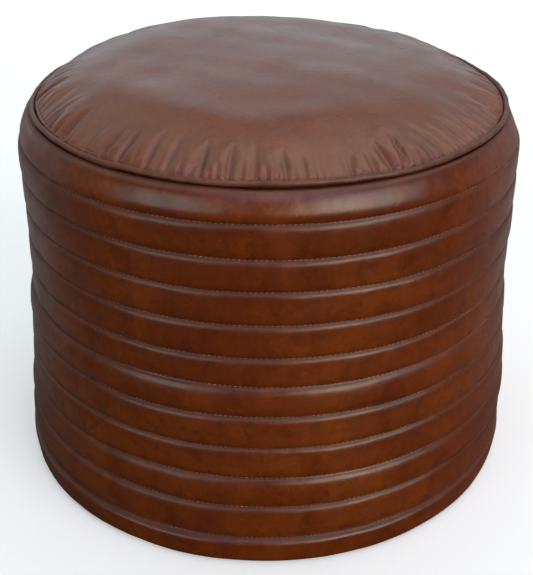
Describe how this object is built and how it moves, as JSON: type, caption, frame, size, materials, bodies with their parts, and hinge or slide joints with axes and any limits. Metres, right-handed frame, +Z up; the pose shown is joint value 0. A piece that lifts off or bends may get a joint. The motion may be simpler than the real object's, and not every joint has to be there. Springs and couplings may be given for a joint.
{
  "type": "leather pouf",
  "caption": "Round leather pouf with a domed piped top, a wall of horizontal padded ribs, a stuffed body and a zip in the underside.",
  "frame": {"origin": "centre of the underside, on the floor", "axes": "+Z up, +X along the zip towards its closed end, +Y towards the back, where the wall is sewn closed"},
  "size_m": [0.5154, 0.5154, 0.419],
  "materials": {
    "top_leather": "gloss",
    "wall_leather": "gloss",
    "piping_leather": "gloss",
    "base_leather": "matte",
    "thread": "matte",
    "wadding": "matte",
    "lining_cloth": "matte",
    "zip_tape": "matte",
    "zip_metal": "satin"
  },
  "bodies": {
    "pouf": {"top_panel": "top_leather", "top_stitch": "thread", "top_piping_cover": "piping_leather", "top_piping_cord": "lining_cloth", "wall_leather": "wall_leather", "wall_backing": "lining_cloth", "wall_back_tape": "lining_cloth", "rib_pad_01": "wadding", "rib_pad_02": "wadding", "rib_pad_03": "wadding", "rib_pad_04": "wadding", "rib_pad_05": "wadding", "rib_pad_06": "wadding", "rib_pad_07": "wadding", "rib_pad_08": "wadding", "rib_pad_09": "wadding", "rib_pad_10": "wadding", "rib_pad_11": "wadding", "rib_pad_12": "wadding", "rib_stitch_01": "thread", "rib_stitch_02": "thread", "rib_stitch_03": "thread", "rib_stitch_04": "thread", "rib_stitch_05": "thread", "rib_stitch_06": "thread", "rib_stitch_07": "thread", "rib_stitch_08": "thread", "rib_stitch_09": "thread", "rib_stitch_10": "thread", "rib_stitch_11": "thread", "crown_wadding": "wadding", "inner_bag": "lining_cloth", "filling": "wadding", "base_panel": "base_leather", "zip_tape_front": "zip_tape", "zip_tape_back": "zip_tape", "zip_teeth_front": "zip_metal", "zip_teeth_back": "zip_metal", "zip_top_stops": "zip_metal", "zip_bottom_stop": "zip_metal", "zip_stitches": "thread"},
    "slider": {"zip_slider": "zip_metal", "zip_pull_pin": "zip_metal"},
    "pull": {"zip_pull_tab": "zip_metal"}
  },
  "joints": [
    {"name": "zip_slide", "type": "slide", "parent": "pouf", "child": "slider", "axis": [-1, 0, 0], "range_m": [0, 0.285], "deforming": ["zip_teeth_front", "zip_teeth_back"]},
    {"name": "zip_pull", "type": "hinge", "parent": "slider", "child": "pull", "pos_m": [0.1436, 0, 0.0044], "axis": [0, 1, 0], "range_deg": [-8, 172]}
  ]
}
